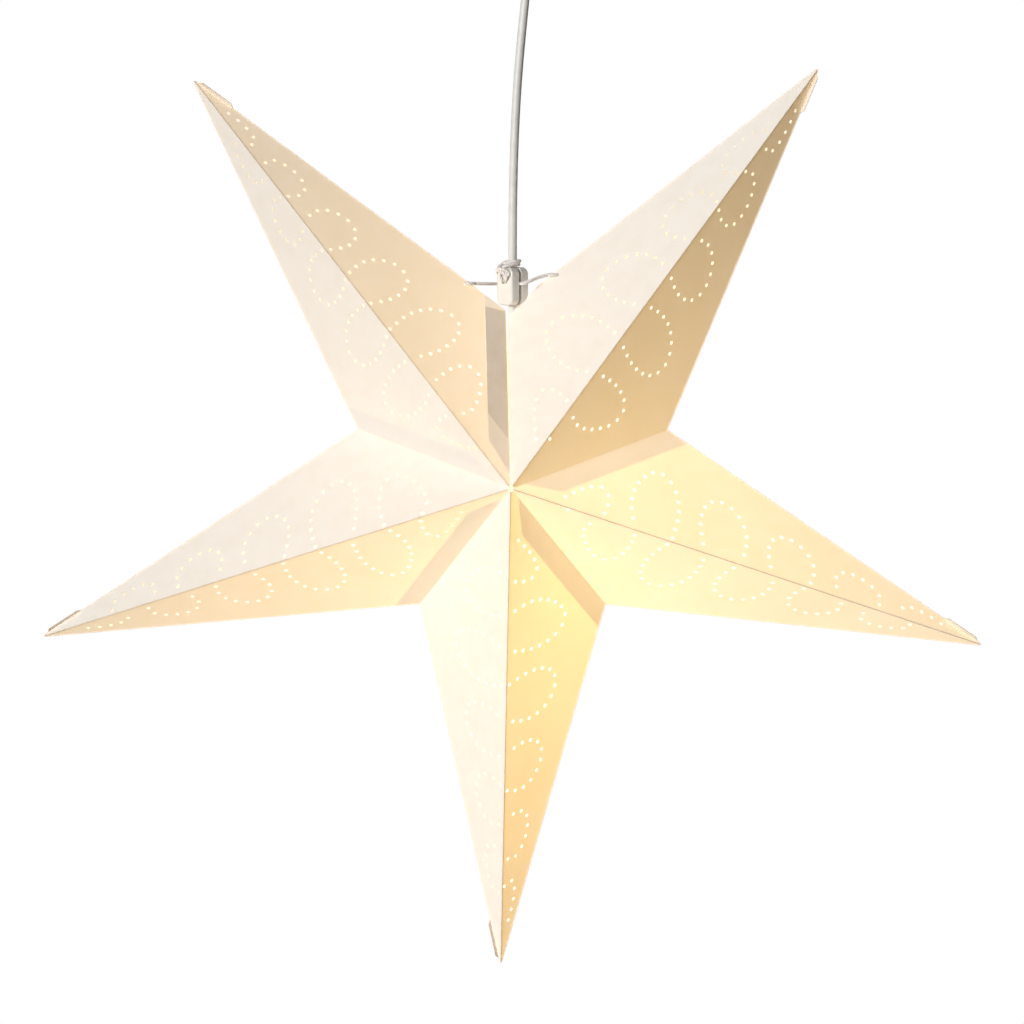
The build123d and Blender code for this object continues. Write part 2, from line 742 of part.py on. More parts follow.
with BuildPart() as swivel_ball:
    with Locations(ball_middle):
        Sphere(ball_radius)
    split(bisect_by=Plane.XY.offset(ball_centre + ball_top_cut), keep=Keep.BOTTOM)
    split(bisect_by=Plane.XY.offset(ball_centre - ball_bottom_cut), keep=Keep.TOP)
    with Locations(ball_middle):
        Cylinder(bush_radius + bush_clearance, 4 * ball_radius, mode=Mode.SUBTRACT)
swivel_ball.part.label = "swivel_ball"
export_step(swivel_ball.part, "parts/swivel_ball.step")

flange_bottom = ball_centre + ball_top_cut + bush_clearance
bush_top = flange_bottom + bush_flange_height
with BuildPart() as cord_bush:
    with BuildSketch(Plane.XY.offset(bush_bottom)):
        Circle(bush_radius)
    extrude(amount=bush_top - bush_bottom)
    with BuildSketch(Plane.XY.offset(flange_bottom)):
        Circle(bush_flange_radius)
    extrude(amount=bush_flange_height)
    with BuildSketch(Plane.XY.offset(bush_bottom)):
        with Locations((-core_spacing / 2, 0), (core_spacing / 2, 0)):
            Circle(core_radius)
    extrude(amount=bush_top - bush_bottom, mode=Mode.SUBTRACT)
cord_bush.part.label = "cord_bush"
export_step(cord_bush.part, "parts/cord_bush.step")

with BuildPart() as ceiling_cores:
    with BuildSketch(Plane.XY.offset(bush_bottom)):
        with Locations((-core_spacing / 2, 0), (core_spacing / 2, 0)):
            Circle(core_radius)
    extrude(amount=block_bottom - tails_gap - bush_bottom)
ceiling_cores.part.label = "ceiling_cores"
export_step(ceiling_cores.part, "parts/ceiling_cores.step")
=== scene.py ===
"""Looks of the folded-paper star lantern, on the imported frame. Metres, +Z up, front towards -Y."""

import json
from math import cos, hypot, radians, sin, tau

import bmesh
import bpy
from mathutils import Matrix, Vector


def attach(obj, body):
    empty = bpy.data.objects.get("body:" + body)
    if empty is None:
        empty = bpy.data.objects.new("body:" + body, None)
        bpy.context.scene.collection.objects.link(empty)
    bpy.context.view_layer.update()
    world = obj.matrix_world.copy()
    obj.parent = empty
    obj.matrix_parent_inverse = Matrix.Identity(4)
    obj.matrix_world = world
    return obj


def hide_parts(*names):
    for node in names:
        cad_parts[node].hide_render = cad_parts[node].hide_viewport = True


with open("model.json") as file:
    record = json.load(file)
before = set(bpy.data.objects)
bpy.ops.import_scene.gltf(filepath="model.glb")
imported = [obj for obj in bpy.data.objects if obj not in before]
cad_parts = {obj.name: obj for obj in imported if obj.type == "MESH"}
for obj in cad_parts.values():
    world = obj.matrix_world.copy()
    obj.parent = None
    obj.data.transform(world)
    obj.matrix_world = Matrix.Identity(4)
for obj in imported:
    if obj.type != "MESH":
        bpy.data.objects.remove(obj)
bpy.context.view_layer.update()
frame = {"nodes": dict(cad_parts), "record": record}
scene = bpy.context.scene


# ---------------------------------------------------------------- small helpers
def tint(code, alpha=1.0):
    """A colour of the shaders, from its sRGB code of six hex digits."""
    parts = [int(code[place:place + 2], 16) / 255 for place in (0, 2, 4)]
    linear = [part / 12.92 if part <= 0.04045 else ((part + 0.055) / 1.055) ** 2.4 for part in parts]
    return (*linear, alpha)


def add(tree, kind, sockets=(), **settings):
    """Adds one node. A socket is given by name or place, and takes a value or another node's output."""
    made = tree.nodes.new(kind)
    for name, value in settings.items():
        setattr(made, name, value)
    for place, value in dict(sockets).items():
        if isinstance(value, bpy.types.NodeSocket):
            tree.links.new(value, made.inputs[place])
        else:
            made.inputs[place].default_value = value
    return made


def new_piece(name, mesh, *materials):
    """A finished mesh as a piece of the model."""
    piece = bpy.data.objects.new(name, mesh)
    scene.collection.objects.link(piece)
    for slot, material in enumerate(materials):
        if slot < len(mesh.materials):
            mesh.materials[slot] = material
        else:
            mesh.materials.append(material)
    return piece


def wire_object(name, loops, closed=True):
    """A scratch object of edges only, one loop or chain for each list of points."""
    points = [point for loop in loops for point in loop]
    edges = []
    start = 0
    for loop in loops:
        count = len(loop)
        edges += [(start + place, start + place + 1) for place in range(count - 1)]
        if closed:
            edges.append((start + count - 1, start))
        start += count
    mesh = bpy.data.meshes.new(name)
    mesh.from_pydata(points, edges, [])
    wire = bpy.data.objects.new(name, mesh)
    scene.collection.objects.link(wire)
    return wire


def smooth_line(name, lines, closed=False):
    """A scratch curve of smooth splines, each through the pull of its own few points."""
    curve = bpy.data.curves.new(name, "CURVE")
    curve.dimensions = "3D"
    curve.resolution_u = 12
    for points in lines:
        spline = curve.splines.new("NURBS")
        spline.points.add(len(points) - 1)
        for place, point in zip(spline.points, points):
            place.co = (*point, 1.0)
        spline.order_u = 3
        spline.use_endpoint_u = not closed
        spline.use_cyclic_u = closed
    line = bpy.data.objects.new(name, curve)
    scene.collection.objects.link(line)
    return line


def grown(base, tree, inputs):
    """The plain mesh that a node tree grows on a scratch object, which is then thrown away."""
    modifier = base.modifiers.new("grow", "NODES")
    modifier.node_group = tree
    sockets = {item.name: item.identifier for item in tree.interface.items_tree if item.in_out == "INPUT"}
    for name, value in inputs.items():
        modifier[sockets[name]] = value
    view = bpy.context.evaluated_depsgraph_get()
    mesh = bpy.data.meshes.new_from_object(base.evaluated_get(view))
    bpy.data.objects.remove(base)
    return mesh


def new_tree(name, inputs):
    """A geometry node tree with its named inputs and one geometry output."""
    tree = bpy.data.node_groups.new(name, "GeometryNodeTree")
    tree.interface.new_socket("Geometry", in_out="INPUT", socket_type="NodeSocketGeometry")
    for label, kind in inputs.items():
        tree.interface.new_socket(label, in_out="INPUT", socket_type=f"NodeSocket{kind}")
    tree.interface.new_socket("Geometry", in_out="OUTPUT", socket_type="NodeSocketGeometry")
    return tree, add(tree, "NodeGroupInput").outputs


# ---------------------------------------------------------------- camera
star = Vector((-0.012, 0.0, -0.430))
aim = star + Vector((-0.0005, 0.0, -0.02814))
elevation, azimuth, distance = radians(6.59), radians(0.877), 2.2
towards_camera = Vector((sin(azimuth) * cos(elevation), -cos(azimuth) * cos(elevation), sin(elevation)))
camera = bpy.data.objects.new("camera", bpy.data.cameras.new("camera"))
camera.data.lens = 104.4
camera.data.sensor_width = 36
camera.location = aim + towards_camera * distance
camera.rotation_euler = towards_camera.to_track_quat("Z", "Y").to_euler()
scene.collection.objects.link(camera)
scene.camera = camera

# ---------------------------------------------------------------- mains cord
cord_points = [
    (-0.012, 0, -0.412),
    (-0.012, 0, -0.292),
    (-0.012, 0, -0.230),
    (-0.0102, 0, -0.168),
    (-0.0061, 0, -0.112),
    (0, 0, -0.056),
]
cord_radius = 0.0031
cord_curve = bpy.data.curves.new("mains_cord_sheath", "CURVE")
cord_curve.dimensions = "3D"
cord_spline = cord_curve.splines.new("NURBS")
cord_spline.points.add(len(cord_points) - 1)
for place, point in zip(cord_spline.points, cord_points):
    place.co = (*point, 1.0)
cord_spline.order_u = 3
cord_spline.use_endpoint_u = True
cord_spline.resolution_u = 24
cord_curve.bevel_depth = cord_radius
cord_curve.bevel_resolution = 8
cord_curve.use_fill_caps = True
cord = bpy.data.objects.new("mains_cord_sheath", cord_curve)
scene.collection.objects.link(cord)


# ---------------------------------------------------------------- materials
def new_finish(name, bsdf_sockets):
    """A new material's tree, its shader and the object coordinates that its patterns use."""
    material = bpy.data.materials.new(name)
    material.use_nodes = True
    tree = material.node_tree
    shader = tree.nodes["Principled BSDF"]
    for label, value in bsdf_sockets.items():
        shader.inputs[label].default_value = value
    return material, tree, shader, add(tree, "ShaderNodeTexCoord").outputs["Object"]


def mottle(tree, coordinates, scale, light, dark, detail=4.0):
    """A colour that wanders between two shades."""
    noise = add(tree, "ShaderNodeTexNoise", {"Vector": coordinates, "Scale": scale, "Detail": detail})
    ramp = add(tree, "ShaderNodeValToRGB", {"Fac": noise.outputs["Fac"]})
    ramp.color_ramp.elements[0].position = 0.35
    ramp.color_ramp.elements[0].color = tint(dark)
    ramp.color_ramp.elements[1].position = 0.65
    ramp.color_ramp.elements[1].color = tint(light)
    return ramp.outputs["Color"]


def relief(tree, height, depth, strength=1.0, under=None):
    """Bumps of that depth in metres, laid over coarser ones."""
    sockets = {"Height": height, "Distance": depth, "Strength": strength}
    if under:
        sockets["Normal"] = under
    return add(tree, "ShaderNodeBump", sockets).outputs["Normal"]


def star_paper(name, light, dark, share, glow, strength):
    """Smooth uncoated card, creased and punched. Its dull face hardly shines, and short fibres cloud it a
    little when it is lit from behind. The lamp's glow through the card is painted on as emission: each panel
    glows by its own painted share, brighter near one point by the lamp as a painted pool of light, and darker
    where a glued flap doubles the card, as a painted shadow."""
    material, tree, shader, place = new_finish(name, {"Roughness": 0.82, "Specular IOR Level": 0.25})
    # painted glow: the panel's own painted share of lamp light, plus this skin's extra strength
    own = add(tree, "ShaderNodeSeparateXYZ", {0: add(tree, "ShaderNodeUVMap", uv_map="lamp_share").outputs[0]})
    level = add(tree, "ShaderNodeMath", {0: own.outputs["X"], 1: strength}, operation="ADD").outputs[0]
    # painted pool of light: the painted glow is stronger near lamp_middle and fades away from it
    away = add(tree, "ShaderNodeVectorMath", {0: place, 1: lamp_middle}, operation="DISTANCE").outputs["Value"]
    near = add(tree, "ShaderNodeMapRange", {
        "Value": away, "From Min": glow_near, "From Max": glow_far,
        "To Min": glow_near_share, "To Max": glow_far_share}).outputs[0]
    open_level = add(tree, "ShaderNodeMath", {0: level, 1: near}, operation="MULTIPLY").outputs[0]
    # painted shadow of a glued flap: a band along the valley, tapered at its start, where the painted glow is
    # dimmed
    from_fold = add(tree, "ShaderNodeSeparateXYZ", {
        0: add(tree, "ShaderNodeUVMap", uv_map="from_fold").outputs[0]})
    taper = add(tree, "ShaderNodeMath", {
        0: from_fold.outputs["X"], 1: flap_width / flap_taper, 2: -flap_start * flap_width / flap_taper},
        operation="MULTIPLY_ADD").outputs[0]
    reach = add(tree, "ShaderNodeMath", {0: taper, 1: flap_width}, operation="MINIMUM").outputs[0]
    within = add(tree, "ShaderNodeMath", {0: reach, 1: from_fold.outputs["Y"]}, operation="SUBTRACT").outputs[0]
    painted_flap_shadow = add(tree, "ShaderNodeMapRange", {
        "Value": within, "From Min": -flap_edge_blur, "From Max": flap_edge_blur,
        "To Min": 1.0, "To Max": flap_shade}).outputs[0]
    lit = add(tree, "ShaderNodeMath", {0: open_level, 1: painted_flap_shadow}, operation="MULTIPLY").outputs[0]
    tree.links.new(lit, shader.inputs["Emission Strength"])
    tree.links.new(mottle(tree, place, 140.0, *glow, 6.0), shader.inputs["Emission Color"])
    fibres = add(tree, "ShaderNodeTexNoise", {"Vector": place, "Scale": 1500.0, "Detail": 3.0})
    cockle = add(tree, "ShaderNodeTexNoise", {"Vector": place, "Scale": 11.0, "Detail": 1.0})
    wavy = relief(tree, cockle.outputs["Fac"], 0.003)
    face = relief(tree, fibres.outputs["Fac"], 0.00006, 0.6, wavy)
    tree.links.new(mottle(tree, place, 90.0, light, dark, 6.0), shader.inputs["Base Color"])
    tree.links.new(face, shader.inputs["Normal"])
    through = add(tree, "ShaderNodeBsdfTranslucent", {"Color": tint("FFF3DE"), "Normal": face})
    both = add(tree, "ShaderNodeMixShader", {0: share, 1: shader.outputs[0], 2: through.outputs[0]})
    tree.links.new(both.outputs[0], tree.nodes["Material Output"].inputs["Surface"])
    return material


def moulded(name, light, dark, roughness, scale, depth, **more):
    """A moulded plastic: its colour is nearly even, with the fine grain of the mould on its surface."""
    sockets = {"Roughness": roughness, **{label.replace("_", " "): value for label, value in more.items()}}
    material, tree, shader, place = new_finish(name, sockets)
    tree.links.new(mottle(tree, place, scale / 8, light, dark), shader.inputs["Base Color"])
    grain = add(tree, "ShaderNodeTexNoise", {"Vector": place, "Scale": scale, "Detail": 2.0})
    tree.links.new(relief(tree, grain.outputs["Fac"], depth), shader.inputs["Normal"])
    return material


def brushed(name, light, dark, roughness, stretch):
    """A drawn or turned metal: fine marks run one way, so its shine is broken into streaks."""
    material, tree, shader, place = new_finish(name, {"Metallic": 1.0, "Roughness": roughness})
    along = add(tree, "ShaderNodeMapping", {"Vector": place, "Scale": stretch})
    tree.links.new(mottle(tree, along.outputs[0], 400.0, light, dark), shader.inputs["Base Color"])
    marks = add(tree, "ShaderNodeTexNoise", {"Vector": along.outputs[0], "Scale": 2500.0, "Detail": 2.0})
    tree.links.new(relief(tree, marks.outputs["Fac"], 0.00002), shader.inputs["Normal"])
    return material


# where the painted glow is strongest, a little to the right of the lamp, and how far from there it fades: a
# painted pool of light
lamp_middle = (0.006, 0.0, -0.514)
glow_near, glow_far = 0.05, 0.36
glow_near_share, glow_far_share = 1.12, 0.6
# the glued flaps: their width, where they start along the valley, how they taper, and how much painted shadow they
# lay on the painted glow
flap_width, flap_start, flap_taper, flap_shade = 0.016, 0.012, 0.026, 0.6
flap_edge_blur = 0.0006
warm_glow = ("FFCC66", "FFC85E")
# the paper's outside, and copies of it for the inside faces, the fold beads and the flaps, each with its own
# painted light: the inside faces are painted darker and get a strong painted glow that shows through the holes,
# the ridge beads are a little darker with a little painted glow, the beads on the valleys and outer folds get a
# stronger, more orange painted glow, and the flaps a little painted glow
paper = star_paper("star_paper", "FBF8F4", "F8F4EE", 0.12, warm_glow, 0.0)
lit_inside = star_paper(
    "lit_inside_of_star_paper", "B8AEA0", "B0A698", 0.12, ("FFF6DC", "FFF4D6"), 0.75)
crease_paper = star_paper("creased_star_paper", "EDE6DE", "E4DCD3", 0.08, warm_glow, 0.12)
rim_paper = star_paper(
    "rim_of_star_paper", "FBF6EE", "F6EFE4", 0.12, ("FFC566", "FFBE5C"), 0.30)
flap_paper = star_paper("glued_flap_paper", "F6EDE2", "F1E6D8", 0.12, warm_glow, 0.08)

# Cotton twine, three strands laid together: each strand is soft and hairy, so it has sheen and no gloss.
twine, twine_tree, twine_shader, twine_place = new_finish(
    "cotton_twine", {"Roughness": 0.9, "Sheen Weight": 0.4})
twine_colour = mottle(twine_tree, twine_place, 700.0, "FBF6F1", "EFE7E1")
twine_tree.links.new(twine_colour, twine_shader.inputs["Base Color"])
hairs = add(twine_tree, "ShaderNodeTexNoise", {"Vector": twine_place, "Scale": 4200.0, "Detail": 3.0})
twine_tree.links.new(relief(twine_tree, hairs.outputs["Fac"], 0.0002), twine_shader.inputs["Normal"])

materials = {
    "paper": flap_paper,
    "cotton": twine,
    "clip_plastic": moulded(
        "clip_gloss_plastic", "F1EEE8", "EBE8E1", 0.16, 900.0, 0.00001, Coat_Weight=0.5),
    "zinc_screws": brushed("zinc_plated_steel", "C9CBCC", "AEB1B3", 0.32, (1, 1, 8)),
    "cord_sheath": moulded("soft_pvc_sheath", "ECEAE6", "E4E2DD", 0.38, 1300.0, 0.00002),
    "core_insulation": moulded("core_insulation", "5E7FB8", "55749F", 0.42, 1300.0, 0.00001),
    "holder_plastic": moulded("holder_thermoset", "F1EEE7", "EAE6DD", 0.34, 1100.0, 0.00002),
    "insert_ceramic": moulded("insert_steatite", "E8E3D8", "DBD5C8", 0.5, 600.0, 0.00006),
    "contact_brass": brushed("contact_brass", "D8B86A", "B99648", 0.28, (1, 1, 6)),
    "lamp_metal": brushed("lamp_cap_aluminium", "D6D7D9", "BFC1C4", 0.26, (1, 1, 10)),
    "solder": brushed("solder_tin", "BEBFC0", "9FA1A3", 0.45, (1, 1, 1)),
    "lamp_glass": moulded("lamp_black_glass", "15151A", "0D0D10", 0.12, 500.0, 0.00002),
    "lamp_plastic": moulded("lamp_body_plastic", "F5F3EE", "EEEBE4", 0.36, 1200.0, 0.00002),
    "circuit_board": moulded("circuit_board_mask", "E9EFE9", "DDE5DD", 0.4, 1500.0, 0.00001),
    "led_chip": moulded("led_phosphor", "F4D24E", "EBC23A", 0.3, 2000.0, 0.00001),
    "cup_plastic": moulded(
        "cup_gloss_plastic", "F6F4EF", "F0EDE7", 0.24, 1000.0, 0.00001, Coat_Weight=0.3),
    "bracket_steel": brushed("bracket_steel", "C4C5C6", "A9ABAD", 0.36, (8, 1, 1)),
    "swivel_plastic": moulded("swivel_nylon", "EEECE6", "E5E2DA", 0.45, 900.0, 0.00003),
}

# Opal globe: plastic filled with white powder, so the whole ball glows evenly when lit.
globe_glow = moulded("opal_globe", "FFF3DC", "FFEFD2", 0.4, 900.0, 0.00001)
globe_shader = globe_glow.node_tree.nodes["Principled BSDF"]
globe_shader.inputs["Emission Color"].default_value = tint("FFD48A")
globe_shader.inputs["Emission Strength"].default_value = 1.6
materials["opal_globe"] = globe_glow

slot_of = {part["node"]: part["material_slot"] for part in frame["record"]["subparts"]}
for node, thing in frame["nodes"].items():
    for slot in thing.material_slots:
        slot.material = materials[slot_of[node]]
frame["nodes"]["lamp_globe"].visible_shadow = False

cord.data.materials.append(materials["cord_sheath"])
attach(cord, "pendant")
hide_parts("mains_cord")

# ---------------------------------------------------------------- the star's panels
tip_radius = 0.372
corner_radius = 0.1185
slit_radius = 0.1215
half_depth = 0.100
thickness = 0.00033
# the sheet lies just inside the panel, and its front and back halves stay apart at the outer folds
skin_gap = 0.00005
half_gap = 0.00012
point_half_angle = 35.4
slit_angles = {"upper_left": 92.55, "upper_right": 91.45}
centre_hole = 0.0022
tip_cut = 0.002
half_turns = {"lower": 0, "left": -2, "upper_left": -4, "right": 2, "upper_right": 4}
leans = {"lower": -1.4, "left": 0.0, "upper_left": 0.5, "right": -0.8, "upper_right": 1.6}
# how strongly each panel's painted glow shows: painted stronger on the right, where the lamp hangs, and weaker on
# the panels that face the daylight from the left
painted_glow_shares = {
    "lower": {"cw": 0.10, "ccw": 0.66},
    "left": {"cw": 0.06, "ccw": 0.50},
    "upper_left": {"cw": 0.40, "ccw": 0.10},
    "right": {"cw": 0.54, "ccw": 0.60},
    "upper_right": {"cw": 0.40, "ccw": 0.06},
}
# the panels that have a flap glued behind them, along their valley fold, and so get the painted flap shadow
flap_hosts = [
    ("left", "ccw"), ("upper_left", "ccw"), ("upper_left", "cw"), ("lower", "ccw"), ("right", "ccw")]
# how the two slit corners are cut back round the cord and the clip, from the star's centre
slit_bites = {
    "upper_left": [(-0.00535, 0.1210), (-0.0057, 0.1216)],
    "upper_right": [(-0.00302, 0.1194), (-0.0020, 0.1188), (0.0, 0.1196), (0.0020, 0.1219), (0.0031, 0.1243),
                    (0.0048, 0.1251), (0.0069, 0.1260), (0.0105, 0.1299), (0.0122, 0.1333)],
}


def polar(angle, radius):
    """A point of the star's middle plane, from its centre."""
    return Vector((radius * cos(radians(angle)), 0, radius * sin(radians(angle))))


class Panel:
    """One flat panel of a point: its place, and its outline in its own flat coordinates.
    The first coordinate runs along the ridge, and the second is positive anticlockwise of it."""

    def __init__(self, name, side, face):
        step = -1 if side == "cw" else 1
        middle = -90 + half_turns[name] * point_half_angle
        self.at_slit = (name, side) in [("upper_left", "cw"), ("upper_right", "ccw")]
        self.apex = Vector((0, face * half_depth, 0))
        self.tip = polar(middle + leans[name], tip_radius)
        if self.at_slit:
            self.corner = polar(slit_angles[name], slit_radius)
        else:
            self.corner = polar(middle + step * point_half_angle, corner_radius)
        along = (self.tip - self.apex).normalized()
        reach = self.corner - self.apex
        across = (reach - along * reach.dot(along)).normalized() * step
        inward = along.cross(across)
        if inward.y * face > 0:
            inward = -inward
        turned = Matrix((along, across, inward)).transposed().to_4x4()
        self.place = Matrix.Translation(star + self.apex) @ turned
        self.normal = inward
        tip_way = self.tip.normalized()
        share = tip_cut / (self.tip - self.corner).dot(tip_way)
        edge_end = self.tip + (self.corner - self.tip) * share
        line = [tip_way * centre_hole, self.tip - tip_way * tip_cut, edge_end]
        if self.at_slit:
            bites = [Vector((x, 0, z)) for x, z in slit_bites[name]]
            line += reversed(bites)
            line.append(bites[0] * (centre_hole / bites[0].length))
        else:
            line += [self.corner, self.corner.normalized() * centre_hole]
        self.outline = [self.flat(point) for point in line]

    def flat(self, point):
        """The flat coordinates of the panel's point in front of or behind that point of the middle plane."""
        depth = (self.apex - point).dot(self.normal) / self.normal.y
        local = self.place.inverted() @ (star + point + Vector((0, depth, 0)))
        return (local.x, local.y, 0.0)


# The dotted line wanders over both panels of a point like a slow river: its heading swings evenly from side to
# side, so that it folds back on itself, and its bends narrow with the point. Its ends are lengths along the ridge.
line_start, line_end = 0.046, 0.352
line_swing = radians(112)
line_room = 0.64
line_margin = 0.003
steps_per_bend = 14
line_bends = {"lower": 5.5, "left": 5.5, "upper_left": 6.0, "right": 5.5, "upper_right": 5.0}


def wandering_line(name):
    """The few points that a point's dotted line is drawn through, in the flat coordinates of its panels."""
    panel = Panel(name, "ccw", -1)
    corner_along, corner_across = panel.flat(panel.corner)[:2]
    slope = corner_across / corner_along
    tip_along = panel.flat(panel.tip)[0]
    along, across = [0.0], [0.0]
    for step in range(round(line_bends[name] * steps_per_bend)):
        heading = line_swing * cos(tau * step / steps_per_bend)
        along.append(along[-1] + cos(heading))
        across.append(across[-1] + sin(heading))
    middle, half_width = (max(across) + min(across)) / 2, (max(across) - min(across)) / 2
    points = []
    for onward, sideways in zip(along, across):
        place = line_start + (line_end - line_start) * onward / along[-1]
        narrowing = min(place / corner_along, (tip_along - place) / (tip_along - corner_along))
        room = line_room * corner_across * narrowing
        beside_flap = slope * place - (flap_width + line_margin) * hypot(1, slope)
        points.append((place, (sideways - middle) / half_width * min(room, beside_flap), 0.0))
    return points


# Punched sheet: a row of round holes follows a line over a flat outline, and the sheet gets its thickness.
sheet_tree, given = new_tree("punched_sheet", {
    "Line": "Object", "Hole Radius": "Float", "Hole Spacing": "Float", "Edge Margin": "Float",
    "Thickness": "Float", "Hole Sides": "Int", "Outside": "Material", "Inside": "Material"})
rim = add(sheet_tree, "GeometryNodeMeshToCurve", {"Mesh": given["Geometry"]}).outputs[0]
uncut = add(sheet_tree, "GeometryNodeFillCurve", {"Curve": rim}, mode="TRIANGLES").outputs[0]
rim_wire = add(sheet_tree, "GeometryNodeCurveToMesh", {"Curve": rim}).outputs[0]
drawn = add(sheet_tree, "GeometryNodeObjectInfo", {"Object": given["Line"]}).outputs["Geometry"]
spaced = add(sheet_tree, "GeometryNodeResampleCurve", {"Curve": drawn, "Length": given["Hole Spacing"]},
             mode="LENGTH").outputs[0]
spot = add(sheet_tree, "GeometryNodeInputPosition").outputs[0]
above = add(sheet_tree, "ShaderNodeVectorMath", {0: spot, 1: (0, 0, 1)}, operation="ADD").outputs[0]
over = add(sheet_tree, "GeometryNodeRaycast", {
    "Target Geometry": uncut, "Source Position": above, "Ray Direction": (0, 0, -1), "Ray Length": 2.0})
to_rim = add(sheet_tree, "GeometryNodeProximity", {"Geometry": rim_wire}, target_element="EDGES")
clear = add(sheet_tree, "FunctionNodeCompare", {"A": to_rim.outputs["Distance"], "B": given["Edge Margin"]},
            data_type="FLOAT", operation="GREATER_THAN").outputs[0]
punched = add(sheet_tree, "FunctionNodeBooleanMath", {0: over.outputs["Is Hit"], 1: clear}, operation="AND")
hole = add(sheet_tree, "GeometryNodeCurvePrimitiveCircle", {
    "Resolution": given["Hole Sides"], "Radius": given["Hole Radius"]}, mode="RADIUS").outputs[0]
holes = add(sheet_tree, "GeometryNodeInstanceOnPoints", {
    "Points": spaced, "Selection": punched.outputs[0], "Instance": hole}).outputs[0]
rings = add(sheet_tree, "GeometryNodeRealizeInstances", {"Geometry": holes}).outputs[0]
lines = add(sheet_tree, "GeometryNodeJoinGeometry")
sheet_tree.links.new(rim, lines.inputs[0])
sheet_tree.links.new(rings, lines.inputs[0])
face = add(sheet_tree, "GeometryNodeFillCurve", {"Curve": lines.outputs[0]}, mode="TRIANGLES").outputs[0]
under = add(sheet_tree, "GeometryNodeFlipFaces", {"Mesh": face}).outputs[0]
raised = add(sheet_tree, "GeometryNodeExtrudeMesh", {
    "Mesh": face, "Offset": (0, 0, 1), "Offset Scale": given["Thickness"], "Individual": False}).outputs[0]
both_sides = add(sheet_tree, "GeometryNodeJoinGeometry")
outer = add(sheet_tree, "GeometryNodeSetMaterial", {"Geometry": under, "Material": given["Outside"]}).outputs[0]
inner = add(sheet_tree, "GeometryNodeSetMaterial", {"Geometry": raised, "Material": given["Inside"]}).outputs[0]
sheet_tree.links.new(outer, both_sides.inputs[0])
sheet_tree.links.new(inner, both_sides.inputs[0])
closed = add(sheet_tree, "GeometryNodeMergeByDistance", {"Geometry": both_sides.outputs[0], "Distance": 1e-6})
whole = add(sheet_tree, "GeometryNodeRealizeInstances", {"Geometry": closed.outputs[0]}).outputs[0]
add(sheet_tree, "NodeGroupOutput", {"Geometry": whole})

# Fold line: the rounded back of a crease, a thin bead along each edge of a chain.
fold_tree, given = new_tree("fold_line", {"Radius": "Float", "Sides": "Int", "Material": "Material"})
chain = add(fold_tree, "GeometryNodeMeshToCurve", {"Mesh": given["Geometry"]}).outputs[0]
bead = add(fold_tree, "GeometryNodeCurvePrimitiveCircle", {
    "Resolution": given["Sides"], "Radius": given["Radius"]}, mode="RADIUS").outputs[0]
swept = add(fold_tree, "GeometryNodeCurveToMesh", {"Curve": chain, "Profile Curve": bead, "Fill Caps": True})
real = add(fold_tree, "GeometryNodeRealizeInstances", {"Geometry": swept.outputs[0]}).outputs[0]
soft = add(fold_tree, "GeometryNodeSetShadeSmooth", {"Geometry": real}).outputs[0]
coated = add(fold_tree, "GeometryNodeSetMaterial", {"Geometry": soft, "Material": given["Material"]}).outputs[0]
add(fold_tree, "NodeGroupOutput", {"Geometry": coated})

hole_radius = 0.0014
hole_spacing = 0.0085
hole_margin = 0.0009
